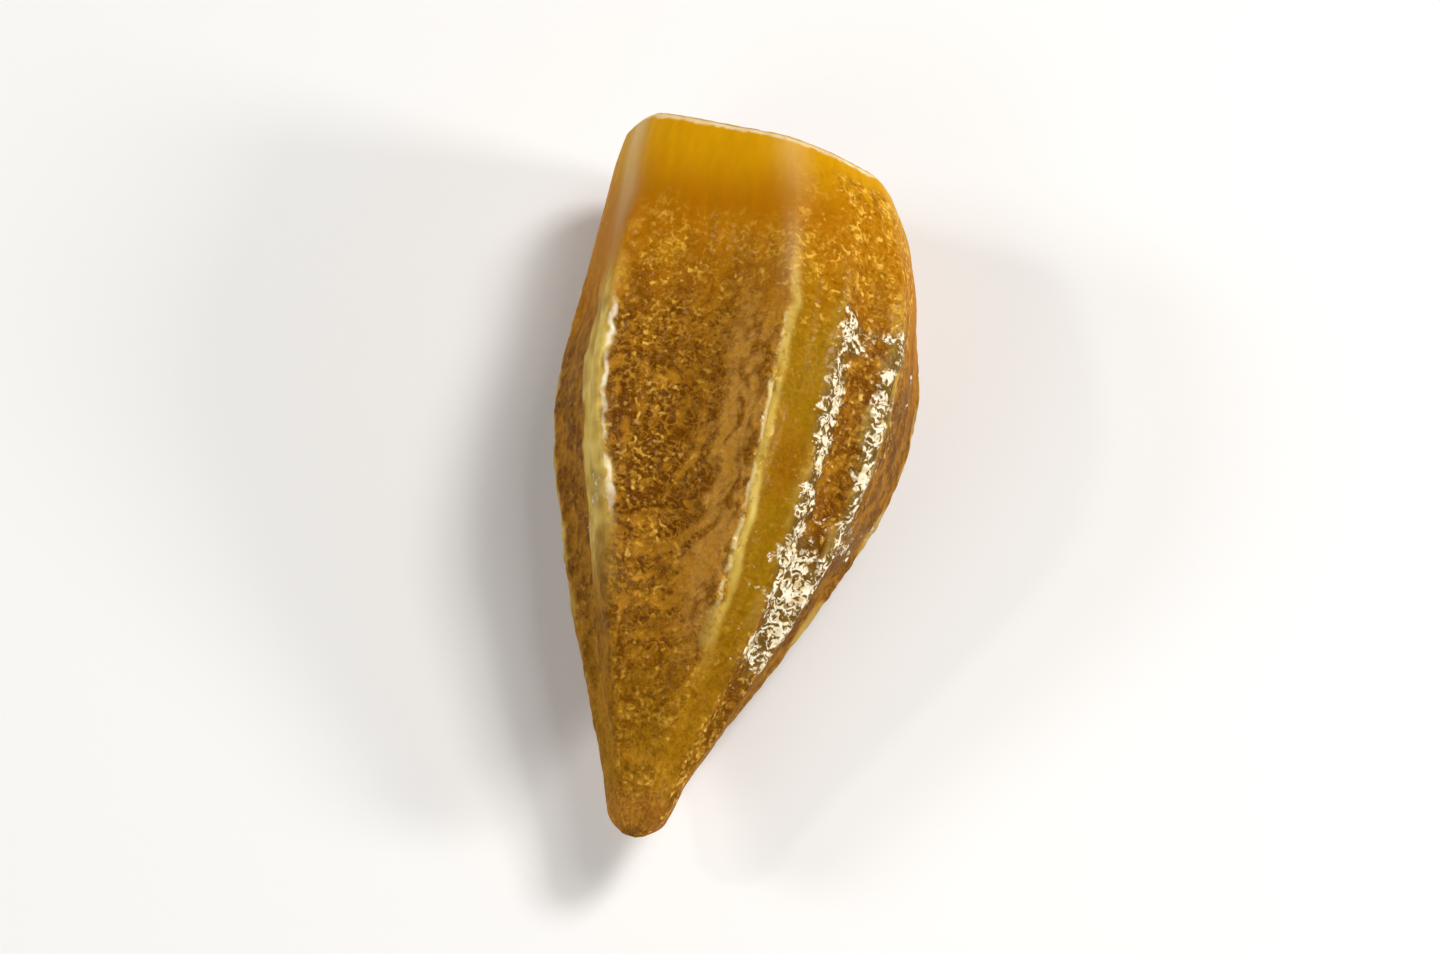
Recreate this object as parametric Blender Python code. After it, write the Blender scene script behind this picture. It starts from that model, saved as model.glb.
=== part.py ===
"""A small okra pod with a pared cap, cooked soft, lying on one of its faces.

The cut end points to +Y and the tip to -Y. Sizes are in millimetres until a point is
made, and angles go round the pod from +X, over the top, in degrees.
"""

import math
from collections import namedtuple

import bmesh
import bpy
from mathutils import Vector

MM = 0.001

# Driving sizes
POD_LENGTH = 38.3
HALF_WIDTH = 9.75
SETTLE = 0.45  # how deep the soft face flattens where it rests
DROOP = 1.6  # how far the tip hangs below the line of the belly
DROOP_FROM = 0.35  # share of the length where the tip starts to hang

# How far the middle of the pod bows to +X, as (share of the length, offset)
BEND = (
    (0.00, 0.3),
    (0.10, 0.9),
    (0.30, 1.5),
    (0.50, 1.3),
    (0.70, 0.7),
    (0.86, 0.2),
    (1.00, 0.0),
)

# Half width along the pod, as (share of the length, share of HALF_WIDTH)
OUTLINE = (
    (0.00, 0.78),
    (0.08, 0.88),
    (0.20, 0.95),
    (0.34, 1.00),
    (0.46, 0.94),
    (0.58, 0.77),
    (0.70, 0.58),
    (0.82, 0.38),
    (0.92, 0.23),
    (1.00, 0.14),
)

# Thickness over width, along the pod
FLATNESS = ((0.00, 0.90), (0.18, 0.84), (0.45, 0.80), (0.75, 0.88), (1.00, 1.00))

# Each rib: the angle of its crest, how far it turns round the pod on its way to the tip,
# its height, its half width on the side before it and on the side after it, and how deep
# the face after it has sunk
Rib = namedtuple("Rib", "angle turn height before after sunk")
RIBS = (
    Rib(30.0, -15.0, 0.32, 0.9, 0.9, 0.25),
    Rib(54.0, -16.0, 0.28, 0.9, 0.8, -0.05),
    Rib(75.0, -9.0, 0.26, 0.8, 0.7, 0.42),
    Rib(142.0, -9.0, 0.55, 0.6, 1.5, 0.10),
    Rib(189.0, -9.0, 0.34, 0.9, 0.9, 0.20),
    Rib(240.0, -9.0, 0.20, 0.9, 0.9, -0.45),
    Rib(291.0, -9.0, 0.20, 0.9, 0.9, 0.10),
    Rib(340.0, -9.0, 0.36, 0.9, 0.9, 0.15),
)
TURN_REACH = (0.35, 0.85)  # shares of the length between which the ribs turn
RIBS_FADE = (0.65, 0.97)  # shares of the length between which the ribs run out
CREST_ROUNDING = 1.25  # 1 keeps the corner where two flat faces meet, more rounds it
TIP_ROUNDING = (0.60, 1.0)  # shares of the length between which the faces grow rounder
TIP_FLATNESS = 0.4  # how flat the faces still are at the tip

# The cap, the pared part above the ring where the leaf bracts sat
CAP_LENGTH = 5.6
CAP_FACETS = 0.60  # 0 is a round cap, 1 has flat facets from rib to rib
RING_STEP = 0.12  # how far the body stands out past the cap at that ring
RING_BLEND = 0.4  # half the length over which it does
FACES_FROM = CAP_LENGTH - 1.0  # where the faces and ribs of the body begin
FACES_TO = CAP_LENGTH + 5.0  # where they are full

# The cut end
CUT_SLANT = -0.12  # rise of the cut's plane across the pod
CUT_LEAN = -0.15  # rise of the cut's plane from the underside to the top
SLANT_REACH = 7.3  # how far along the pod the rings still slant with the cut
CUT_EDGE = 0.6  # radius of the softened edge of the cut
CUT_DISH = 0.25  # how far the middle of the cut has sunk
BEAK_POINT = 0.12  # how far the middle of the beak stands out past its last ring

# Mesh density
STEPS_PER_FACE = 11
BODY_RINGS = 44
EDGE_RINGS = 4
CUT_RINGS = (0.25, 0.5, 0.75)  # shares of the way out to the cut's edge
TIP_RINGS = (0.35, 0.65, 0.88)  # shares of the way round the blunt beak


def smooth_step(value, low, high):
    """0 below low, 1 above high, and an even slope between them."""
    share = min(1.0, max(0.0, (value - low) / (high - low)))
    return share * share * (3 - 2 * share)


def read_curve(points, at):
    """The height at a place on the smooth curve through points."""
    last = len(points) - 1
    here = next((i for i in range(last) if at <= points[i + 1][0]), last - 1)
    slopes = [
        (points[min(i + 1, last)][1] - points[max(i - 1, 0)][1])
        / (points[min(i + 1, last)][0] - points[max(i - 1, 0)][0])
        for i in (here, here + 1)
    ]
    (x0, y0), (x1, y1) = points[here], points[here + 1]
    span = x1 - x0
    t = (at - x0) / span
    rise = y1 - y0
    first = slopes[0] * span
    second = slopes[1] * span
    return y0 + t * (first + t * (3 * rise - 2 * first - second + t * (first + second - 2 * rise)))


def spine(along):
    """Where the pod's own centre line is, as sideways and upward offsets."""
    share = along / POD_LENGTH
    sideways = read_curve(BEND, min(1.0, share))
    down = DROOP * smooth_step(share, DROOP_FROM, 1.0)
    return sideways, -down


def skin_radius(face, u, along):
    """Distance from the spine to the skin, and the angle round the pod.

    The place is a share u of the way from one rib's crest to the next one's.
    """
    share = along / POD_LENGTH
    here, following = RIBS[face], RIBS[(face + 1) % len(RIBS)]
    turned = smooth_step(share, *TURN_REACH)
    start = here.angle + here.turn * turned
    gap = math.radians((following.angle + following.turn * turned - start) % 360.0)
    angle = math.radians(start) + gap * u

    width = HALF_WIDTH * read_curve(OUTLINE, share)
    height = width * read_curve(FLATNESS, share)
    round_radius = 1.0 / math.hypot(math.cos(angle) / width, math.sin(angle) / height)

    # A face is flat from crest to crest on the body, and rounder on the cap and at the tip.
    body = smooth_step(along, FACES_FROM, FACES_TO)
    tip = smooth_step(share, *TIP_ROUNDING)
    flat = CAP_FACETS + (1.0 - CAP_FACETS) * body - (1.0 - TIP_FLATNESS) * tip
    across_face = (4.0 * u * (1.0 - u)) ** CREST_ROUNDING
    radius = round_radius * (1.0 - flat * (1.0 - math.cos(gap / 2)) * across_face)
    radius -= here.sunk * body * (1.0 - tip) * across_face

    crest, half_width = (here.height, here.after) if u < 0.5 else (following.height, following.before)
    crest *= body * (1.0 - smooth_step(share, *RIBS_FADE))
    from_crest = round_radius * gap * min(u, 1.0 - u)
    radius += crest * math.exp(-((from_crest / half_width) ** 2))

    on_cap = 1.0 - smooth_step(along, CAP_LENGTH - RING_BLEND, CAP_LENGTH + RING_BLEND)
    radius -= RING_STEP * on_cap * smooth_step(along, 0.0, CAP_LENGTH)
    return radius, angle


def skin_point(face, u, along, scale=1.0, inset=0.0, sink=0.0):
    """A point of the skin, or of an end's face where scale or inset draws it in."""
    radius, angle = skin_radius(face, u, min(max(along, 0.0), POD_LENGTH))
    radius = (radius - inset) * scale
    sideways, up = spine(along)
    across = radius * math.cos(angle)
    above = radius * math.sin(angle)
    slant = 1.0 - smooth_step(along, 0.0, SLANT_REACH)
    forward = -along - sink + slant * (CUT_SLANT * across + CUT_LEAN * above)
    return Vector((sideways + across, forward, up + above))


def ring(along, scale=1.0, inset=0.0, sink=0.0):
    """One closed ring of points, with a point on every rib's crest."""
    points = []
    for face in range(len(RIBS)):
        for step in range(STEPS_PER_FACE):
            even = step / STEPS_PER_FACE
            u = even - math.sin(2 * math.pi * even) / (4 * math.pi)
            points.append(skin_point(face, u, along, scale, inset, sink))
    return points


def rings_of_pod():
    """Every ring, from the middle of the cut to the end of the beak."""
    made = [ring(0.0, scale=s, sink=CUT_DISH * (1 - s * s)) for s in CUT_RINGS]
    for i in range(EDGE_RINGS):
        turn = math.pi / 2 * i / (EDGE_RINGS - 1)
        into = CUT_EDGE * (1 - math.cos(turn))
        made.append(ring(into, inset=CUT_EDGE * (1 - math.sin(turn))))
    beak = HALF_WIDTH * OUTLINE[-1][1]
    body = POD_LENGTH - beak - CUT_EDGE
    for i in range(1, BODY_RINGS + 1):
        made.append(ring(CUT_EDGE + body * i / BODY_RINGS))
    for share in TIP_RINGS:
        turn = math.pi / 2 * share
        made.append(ring(POD_LENGTH - beak * (1 - math.sin(turn)), scale=math.cos(turn)))
    return made


def middle(points):
    """The mean of some points."""
    return sum(points, Vector()) / len(points)


def settle(points):
    """Lowers the points into the floor and flattens what would pass through it."""
    drop = min(p.z for row in points for p in row) + SETTLE
    for row in points:
        for p in row:
            p.z = max(0.0, p.z - drop)


def loft(name, rings):
    """A closed mesh through the rings, with a point closing each end."""
    mesh_data = bmesh.new()
    rows = [[mesh_data.verts.new(p * MM) for p in row] for row in rings]
    count = len(rows[0])
    for near, far in zip(rows, rows[1:]):
        for i in range(count):
            j = (i + 1) % count
            mesh_data.faces.new((near[i], far[i], far[j], near[j]))
    cut_sink = Vector((0.0, -CUT_DISH * CUT_RINGS[0] ** 2, 0.0))
    beak_out = Vector((0.0, -BEAK_POINT, 0.0))
    for row, points, out in ((rows[0], rings[0], cut_sink), (rows[-1], rings[-1], beak_out)):
        end = mesh_data.verts.new((middle(points) + out) * MM)
        for i in range(count):
            mesh_data.faces.new((row[i], row[(i + 1) % count], end))
    bmesh.ops.recalc_face_normals(mesh_data, faces=mesh_data.faces)
    mesh = bpy.data.meshes.new(name)
    mesh_data.to_mesh(mesh)
    mesh_data.free()
    return mesh


def flesh_material():
    """The soft amber-green skin of a cooked pod, wet with its own juice."""
    material = bpy.data.materials.new("cooked_okra")
    material.use_nodes = True
    shader = material.node_tree.nodes["Principled BSDF"]
    shader.inputs["Base Color"].default_value = (0.30, 0.14, 0.012, 1.0)
    shader.inputs["Roughness"].default_value = 0.34
    shader.inputs["Metallic"].default_value = 0.0
    return material


def clear_scene():
    """Removes every object that the file opened with."""
    for obj in list(bpy.data.objects):
        bpy.data.objects.remove(obj, do_unlink=True)


def build():
    """The whole pod, standing on z = 0 with its box centred on the origin."""
    clear_scene()
    parts = bpy.data.collections.new("okra_pod")
    bpy.context.scene.collection.children.link(parts)
    rings = rings_of_pod()
    settle(rings)
    mesh = loft("pod", rings)
    mesh.materials.append(flesh_material())
    mesh.shade_smooth()
    pod = bpy.data.objects.new("pod", mesh)
    low = [min(v.co[axis] for v in mesh.vertices) for axis in range(2)]
    high = [max(v.co[axis] for v in mesh.vertices) for axis in range(2)]
    pod.location = (-(low[0] + high[0]) / 2, -(low[1] + high[1]) / 2, 0.0)
    parts.objects.link(pod)


build()
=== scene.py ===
"""The looks of a small cooked okra pod: its wet ribbed skin, a pale floor and studio light.

The frame is in metres. The skin's relief is fractions of a millimetre, so its points are
worked out in millimetres and turned to metres once, when the mesh is made. Along the pod,
0 is the cut end and the tip is the pod's length away. Angles go round it from +X over the
top.
"""

import logging
import math
from collections.abc import Sequence
from dataclasses import dataclass, field, fields
from enum import Enum
from typing import Any

import bpy
import numpy as np
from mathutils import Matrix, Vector


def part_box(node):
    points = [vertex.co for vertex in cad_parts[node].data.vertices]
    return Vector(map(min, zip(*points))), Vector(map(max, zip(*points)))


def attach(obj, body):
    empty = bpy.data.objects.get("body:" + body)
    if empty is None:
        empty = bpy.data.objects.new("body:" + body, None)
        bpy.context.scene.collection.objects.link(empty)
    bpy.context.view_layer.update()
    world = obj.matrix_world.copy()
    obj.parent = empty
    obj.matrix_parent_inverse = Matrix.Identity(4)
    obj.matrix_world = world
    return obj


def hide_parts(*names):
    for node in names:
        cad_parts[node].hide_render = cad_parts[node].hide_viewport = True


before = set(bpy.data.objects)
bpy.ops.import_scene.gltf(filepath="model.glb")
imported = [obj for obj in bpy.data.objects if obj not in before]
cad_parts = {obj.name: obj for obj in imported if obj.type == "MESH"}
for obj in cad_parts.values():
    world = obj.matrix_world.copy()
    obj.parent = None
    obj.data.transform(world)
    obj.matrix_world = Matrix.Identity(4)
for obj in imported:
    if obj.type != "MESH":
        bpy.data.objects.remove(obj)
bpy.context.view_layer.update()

LOG = logging.getLogger("okra")
MM = 0.001
Curve = tuple[tuple[float, float], ...]
# Where something begins to fade and where the fade ends
Fade = tuple[float, float]


# Shared helpers


class Tone(Enum):
    """The flesh's colours, as sRGB hex, named for where they are seen."""

    AMBER_CAP = "#D29705"
    DEEP_CAP = "#AE6C02"
    RIGHT_CAP = "#C48C0C"
    BROWN_FACE = "#875202"
    # The darkest brown: of grain, threads and dots, and shade painted in the relief's hollows
    PIT = "#5A2E00"
    TAN_FILM = "#C48F3E"
    GOLD_CREASE = "#B47A1A"
    # Glints of oil, painted in gold as flecks and specks
    GOLD_GLINT = "#F4BE48"
    GOLD_GLINT_SPECK = "#E0A636"
    OLIVE_FACE = "#A17808"
    # Darker brown tone, and shade painted on the flanks, the lower edges and the crease
    DARK_BROWN = "#643A06"
    PALE_RIB = "#E2C46A"
    # A pale seam, painted bright as a highlight
    PALE_SEAM = "#F2DA94"
    GREEN_RIB = "#C0A23A"
    AMBER_TIP = "#A4740C"
    PINK_TIP = "#B87436"
    ORANGE_STAIN = "#9C5C06"
    CREAM_RIM = "#F0DCA8"
    ORANGE_RIM = "#D8963A"
    # Glints painted on the thick juice, white and cream; the white is also the left line's painted
    # highlight
    GLINT_WHITE = "#FFF1D0"
    GLINT_CREAM = "#E2C48C"
    # Painted shade between the glints on the thick juice
    SHADED_JUICE = "#664A0C"
    PITH = "#A8690E"
    FLOOR = "#F3F1EE"


def linear(hex_colour: str) -> tuple[float, float, float, float]:
    """Turns an sRGB hex colour into the linear one that shaders take.

    Args:
        hex_colour: Six hex digits after a hash sign.

    Returns:
        Red, green, blue and a full alpha.
    """
    parts = [int(hex_colour[i : i + 2], 16) / 255 for i in (1, 3, 5)]
    low = [part / 12.92 for part in parts]
    high = [((part + 0.055) / 1.055) ** 2.4 for part in parts]
    red, green, blue = (h if p > 0.04045 else l for p, l, h in zip(parts, low, high))
    return red, green, blue, 1.0


def add_node(
    tree: bpy.types.NodeTree, kind: str, inputs: dict[Any, Any] | None = None, **settings: Any
) -> bpy.types.Node:
    """Adds a node with its settings, and fills or links its inputs.

    Args:
        tree: The node tree it goes in.
        kind: Blender's name for the node's type, without the leading "ShaderNode".
        inputs: For each input's name or number, a value or the socket that feeds it.
        **settings: The node's own properties.

    Returns:
        The new node.
    """
    node = tree.nodes.new("ShaderNode" + kind)
    for name, value in settings.items():
        setattr(node, name, value)
    for name, value in (inputs or {}).items():
        if isinstance(value, bpy.types.NodeSocket):
            tree.links.new(value, node.inputs[name])
        else:
            node.inputs[name].default_value = value
    return node


def new_material(name: str) -> tuple[bpy.types.Material, bpy.types.Node]:
    """Makes a node material.

    Args:
        name: The material's name.

    Returns:
        The material and its Principled shader.
    """
    material = bpy.data.materials.new(name)
    material.use_nodes = True
    return material, material.node_tree.nodes["Principled BSDF"]


def smooth_step(value: np.ndarray, low: float, high: float) -> np.ndarray:
    """Rises evenly from 0 at low to 1 at high.

    Args:
        value: Where to read it.
        low: Where the rise begins.
        high: Where it ends.

    Returns:
        The risen share, from 0 to 1.
    """
    share = np.clip((value - low) / (high - low), 0.0, 1.0)
    return share * share * (3 - 2 * share)


def hump(value: np.ndarray, middle: float, half_width: float) -> np.ndarray:
    """Gives 1 at the middle, falling to 0 past half the width on either side."""
    return np.exp(-(((value - middle) / half_width) ** 2))


def read_curve(points: Curve, at: np.ndarray) -> np.ndarray:
    """Reads the smooth curve through some points, as the solid's source does.

    Args:
        points: Pairs of place and height, in order of place.
        at: The places to read.

    Returns:
        The curve's height at each place.
    """
    x = np.array([p[0] for p in points])
    y = np.array([p[1] for p in points])
    slope = np.empty(len(x))
    slope[1:-1] = (y[2:] - y[:-2]) / (x[2:] - x[:-2])
    slope[0] = (y[1] - y[0]) / (x[1] - x[0])
    slope[-1] = (y[-1] - y[-2]) / (x[-1] - x[-2])
    here = np.clip(np.searchsorted(x, at, side="left") - 1, 0, len(x) - 2)
    span = x[here + 1] - x[here]
    t = (at - x[here]) / span
    rise = y[here + 1] - y[here]
    first = slope[here] * span
    second = slope[here + 1] * span
    return y[here] + t * (first + t * (3 * rise - 2 * first - second + t * (first + second - 2 * rise)))


def cell_number(cells: np.ndarray, seed: int) -> np.ndarray:
    """Gives each whole-number cell of space a number that looks random and repeats.

    Args:
        cells: Whole numbers, three to a cell on the last axis.
        seed: Which set of numbers to give.

    Returns:
        A number from 0 to 1 for each cell.
    """
    mixed = cells[..., 0] * 374761393 + cells[..., 1] * 668265263
    mixed = mixed + cells[..., 2] * 362437 + seed * 974634
    mixed = (mixed ^ (mixed >> 13)) * 1274126177
    mixed = (mixed ^ (mixed >> 15)) * 668265263
    return ((mixed ^ (mixed >> 17)) & 0xFFFFFF) / 0x1000000


def soft_noise(points: np.ndarray, size: float, seed: int, octaves: int = 1) -> np.ndarray:
    """Reads a smooth random field.

    Args:
        points: Places, three numbers each on the last axis.
        size: How far apart its largest lumps are.
        seed: Which field to read.
        octaves: How many finer fields are added, each half the size and strength.

    Returns:
        The field's value at each point, from -1 to 1.
    """
    total = np.zeros(points.shape[:-1])
    reach = 0.0
    for octave in range(octaves):
        strength = 0.5**octave
        scaled = points / (size * strength) + 100.0
        cell = np.floor(scaled).astype(np.int64)
        inside = scaled - cell
        blend = inside * inside * (3 - 2 * inside)
        value = np.zeros(total.shape)
        for corner in np.ndindex(2, 2, 2):
            weight = np.prod(np.where(corner, blend, 1 - blend), axis=-1)
            value += weight * cell_number(cell + corner, seed + octave)
        total += strength * (2 * value - 1)
        reach += strength
    return total / reach


def nearest_grain(points: np.ndarray, spacing: float, seed: int) -> np.ndarray:
    """Measures how far each point is from the nearest of many scattered grains.

    Args:
        points: Places, three numbers each on the last axis.
        spacing: The mean distance from grain to grain.
        seed: Which scatter to use.

    Returns:
        The distance in units of the spacing.
    """
    scaled = points / spacing + 100.0
    home = np.floor(scaled).astype(np.int64)
    nearest = np.full(points.shape[:-1], 9.0)
    for step in np.ndindex(3, 3, 3):
        cell = home + step - 1
        grain = np.stack([cell[..., i] + cell_number(cell, seed + i) for i in range(3)], axis=-1)
        nearest = np.minimum(nearest, np.linalg.norm(scaled - grain, axis=-1))
    return nearest


# The pod


@dataclass(frozen=True)
class Rib:
    """One rib: lengths in millimetres, angles in degrees.

    The angle is the crest's at the cap, and turn is how far the crest goes round on its
    way to the tip. The half widths are for the side before the crest and the side after
    it. The sunk depth is that of the face after it.
    """

    angle: float
    turn: float
    height: float
    before: float
    after: float
    sunk: float


@dataclass(frozen=True)
class PodForm:
    """The pod's form, with the same sizes in millimetres as its solid."""

    length: float = 38.3
    half_width: float = 9.75
    settle: float = 0.45
    droop: float = 1.6
    droop_from: float = 0.35
    bend: Curve = (
        (0.00, 0.3),
        (0.10, 0.9),
        (0.30, 1.5),
        (0.50, 1.3),
        (0.70, 0.7),
        (0.86, 0.2),
        (1.00, 0.0),
    )
    outline: Curve = (
        (0.00, 0.78),
        (0.08, 0.88),
        (0.20, 0.95),
        (0.34, 1.00),
        (0.46, 0.94),
        (0.58, 0.77),
        (0.70, 0.58),
        (0.82, 0.38),
        (0.92, 0.23),
        (1.00, 0.14),
    )
    flatness: Curve = ((0.00, 0.90), (0.18, 0.84), (0.45, 0.80), (0.75, 0.88), (1.00, 1.00))
    ribs: tuple[Rib, ...] = (
        Rib(30.0, -15.0, 0.32, 0.9, 0.9, 0.25),
        Rib(54.0, -16.0, 0.28, 0.9, 0.8, -0.05),
        Rib(75.0, -9.0, 0.26, 0.8, 0.7, 0.42),
        Rib(142.0, -9.0, 0.55, 0.6, 1.5, 0.10),
        Rib(189.0, -9.0, 0.34, 0.9, 0.9, 0.20),
        Rib(240.0, -9.0, 0.20, 0.9, 0.9, -0.45),
        Rib(291.0, -9.0, 0.20, 0.9, 0.9, 0.10),
        Rib(340.0, -9.0, 0.36, 0.9, 0.9, 0.15),
    )
    turn_reach: Fade = (0.35, 0.85)
    ribs_fade: Fade = (0.65, 0.97)
    crest_rounding: float = 1.25
    tip_rounding: Fade = (0.60, 1.0)
    tip_flatness: float = 0.4
    cap_length: float = 5.6
    cap_facets: float = 0.60
    ring_step: float = 0.12
    # The ring is drawn softer than on the solid, since cooking has all but closed it
    ring_blend: float = 1.4
    cut_slant: float = -0.12
    cut_lean: float = -0.15
    slant_reach: float = 7.3
    cut_edge: float = 0.6
    cut_dish: float = 0.25

    def body_share(self, along: np.ndarray) -> np.ndarray:
        """Says how far the body's faces have formed: 0 on the cap, 1 past it."""
        return smooth_step(along, self.cap_length - 1.0, self.cap_length + 5.0)

    def spine(self, along: np.ndarray) -> tuple[np.ndarray, np.ndarray]:
        """Gives the centre line's offsets.

        Args:
            along: Places along the pod.

        Returns:
            How far sideways and how far up the line is at each.
        """
        share = along / self.length
        down = self.droop * smooth_step(share, self.droop_from, 1.0)
        return read_curve(self.bend, np.minimum(share, 1.0)), -down

    def radius(self, grid: "SkinGrid") -> np.ndarray:
        """Gives the distance from the centre line to the skin.

        Args:
            grid: Where on the skin to read it.

        Returns:
            The distance at each place of the grid.
        """
        share = grid.along / self.length
        width = self.half_width * read_curve(self.outline, share)
        height = width * read_curve(self.flatness, share)
        round_radius = 1.0 / np.hypot(np.cos(grid.angle) / width, np.sin(grid.angle) / height)
        body = self.body_share(grid.along)
        tip = smooth_step(share, *self.tip_rounding)
        flat = self.cap_facets + (1.0 - self.cap_facets) * body - (1.0 - self.tip_flatness) * tip
        across_face = (4.0 * grid.u * (1.0 - grid.u)) ** self.crest_rounding
        radius = round_radius * (1.0 - flat * (1.0 - np.cos(grid.gap / 2)) * across_face)
        radius -= grid.sunk * body * (1.0 - tip) * across_face
        crest = body * grid.crest_height * (1.0 - smooth_step(share, *self.ribs_fade))
        from_crest = round_radius * grid.gap * np.minimum(grid.u, 1.0 - grid.u)
        radius += crest * np.exp(-((from_crest / grid.crest_half_width) ** 2))
        edge_low = self.cap_length - self.ring_blend
        on_cap = 1.0 - smooth_step(grid.along, edge_low, self.cap_length + self.ring_blend)
        return radius - self.ring_step * on_cap * smooth_step(grid.along, 0.0, self.cap_length)

    def points(self, grid: "SkinGrid") -> np.ndarray:
        """Places the grid's points in space, before the pod settles on the floor.

        Args:
            grid: Where on the skin each point is.

        Returns:
            Rows of points in millimetres.
        """
        radius = (self.radius(grid) - grid.inset) * grid.scale
        sideways, up = self.spine(grid.along)
        across = radius * np.cos(grid.angle)
        above = radius * np.sin(grid.angle)
        slant = 1.0 - smooth_step(grid.along, 0.0, self.slant_reach)
        forward = -grid.along - grid.sink + slant * (self.cut_slant * across + self.cut_lean * above)
        return np.stack([sideways + across, forward, up + above], axis=-1)


@dataclass
class SkinGrid:
    """Rows of places on the skin, from the middle of the cut to the end of the beak."""

    form: PodForm
    cut_rows: int = 22
    edge_rows: int = 8
    body_rows: int = 248
    beak_rows: int = 12
    columns: int = 340
    # Faces whose crest lies below this angle are hidden underneath and take fewer columns
    hidden_from: float = 188.0
    hidden_weight: float = 0.62
    along: np.ndarray = field(init=False)
    scale: np.ndarray = field(init=False)
    inset: np.ndarray = field(init=False)
    sink: np.ndarray = field(init=False)
    angle: np.ndarray = field(init=False)
    cap_angle: np.ndarray = field(init=False)
    gap: np.ndarray = field(init=False)
    u: np.ndarray = field(init=False)
    sunk: np.ndarray = field(init=False)
    crest_height: np.ndarray = field(init=False)
    crest_half_width: np.ndarray = field(init=False)
    rib_number: np.ndarray = field(init=False)

    def __post_init__(self) -> None:
        """Lays out the rows and the columns."""
        self._lay_rows()
        self._lay_columns()

    def _lay_rows(self) -> None:
        """Sets how far along each row is, and how far the two ends draw it in."""
        form = self.form
        beak = form.half_width * form.outline[-1][1]
        out = np.linspace(0.02, 0.97, self.cut_rows)
        turn = np.linspace(0.0, math.pi / 2, self.edge_rows)
        body = np.linspace(form.cut_edge, form.length - beak, self.body_rows + 1)[1:]
        close = np.linspace(0.0, math.pi / 2, self.beak_rows + 1)[1:] * 0.98
        rows = [(0.0, s, form.cut_edge, form.cut_dish * (1 - s * s)) for s in out]
        edge = [(form.cut_edge * (1 - math.cos(t)), form.cut_edge * (1 - math.sin(t))) for t in turn]
        rows += [(into, 1.0, inset, 0.0) for into, inset in edge]
        rows += [(b, 1.0, 0.0, 0.0) for b in body]
        rows += [(form.length - beak * (1 - math.sin(t)), math.cos(t), 0.0, 0.0) for t in close]
        table = np.array(rows)[:, :, None]
        self.along, self.scale, self.inset, self.sink = (table[:, i] for i in range(4))

    def _lay_columns(self) -> None:
        """Shares the columns among the faces, with one on every rib's crest."""
        ribs = self.form.ribs
        count = len(ribs)
        gaps = [(ribs[(i + 1) % count].angle - ribs[i].angle) % 360.0 for i in range(count)]
        hidden = [rib.angle >= self.hidden_from for rib in ribs]
        weights = [g * (self.hidden_weight if h else 1.0) for g, h in zip(gaps, hidden)]
        steps = [max(6, round(self.columns * w / sum(weights))) for w in weights]
        even = np.concatenate([np.arange(n) / n for n in steps])
        here = np.repeat(np.arange(count), steps)
        following = (here + 1) % count
        table = np.array([(r.angle, r.turn, r.height, r.before, r.after, r.sunk) for r in ribs])
        crest, turn, height, before, after, sunk = table.T
        self.u = (even - np.sin(2 * math.pi * even) / (4 * math.pi))[None, :]
        turned = smooth_step(self.along / self.form.length, *self.form.turn_reach)
        start = crest[here] + turn[here] * turned
        self.gap = np.radians((crest[following] + turn[following] * turned - start) % 360.0)
        self.angle = np.radians(start) + self.gap * self.u
        self.cap_angle = self.angle[0] % (2 * math.pi)
        near = self.u < 0.5
        self.rib_number = np.where(near, here, following)
        self.crest_height = height[self.rib_number]
        self.crest_half_width = np.where(near, after[here], before[following])
        self.sunk = sunk[here]

    def past_crest(self) -> np.ndarray:
        """Says how far past the nearest rib's crest each point is, in millimetres."""
        width = self.form.half_width * read_curve(self.form.outline, self.along / self.form.length)
        return width * self.gap * np.where(self.u < 0.5, self.u, self.u - 1.0)

    def cut_share(self) -> np.ndarray:
        """Says how far each point is on the cut: 1 on it, and 0 from its softened edge on."""
        row = self.spread(np.arange(self.along.shape[0])[:, None].astype(float))
        return 1 - smooth_step(row, self.cut_rows - 2.0, self.cut_rows + 5.0)

    def spread(self, values: np.ndarray) -> np.ndarray:
        """Repeats a row or a column over the whole grid."""
        return np.broadcast_to(values, (self.along.shape[0], self.u.shape[1])).copy()


@dataclass(frozen=True)
class SkinMarks:
    """Where each kind of skin lies on the pod, as shares from 0 to 1.

    The left and right line, and the brink, are distances instead, in millimetres: past the
    two ribs' bright lines, and down from the cut.
    """

    cap: np.ndarray
    deep: np.ndarray
    rib: np.ndarray
    edge: np.ndarray
    line: np.ndarray
    left_line: np.ndarray
    right_line: np.ndarray
    brink: np.ndarray
    tip: np.ndarray
    beak: np.ndarray
    film: np.ndarray
    stain: np.ndarray
    shade: np.ndarray
    cut: np.ndarray
    vein: np.ndarray
    core: np.ndarray
    lift: np.ndarray
    rough: np.ndarray
    glaze: np.ndarray
    fleck: np.ndarray
    wet: np.ndarray


@dataclass(frozen=True)
class Spot:
    """A soft spot: its middle and half its spread, in degrees round and millimetres along."""

    angle: float
    angle_spread: float
    place: float
    place_spread: float
    strength: float = 1.0


@dataclass(frozen=True)
class Strip:
    """A soft strip beside a rib, in millimetres: how far past the crest and half how wide.

    It fades in and out between places along the pod. With no place to begin, it comes from
    the cut.
    """

    rib: int
    past_crest: float
    half_width: float
    ends: Fade
    begins: Fade = (-9.0, -8.0)
    strength: float = 1.0


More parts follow.
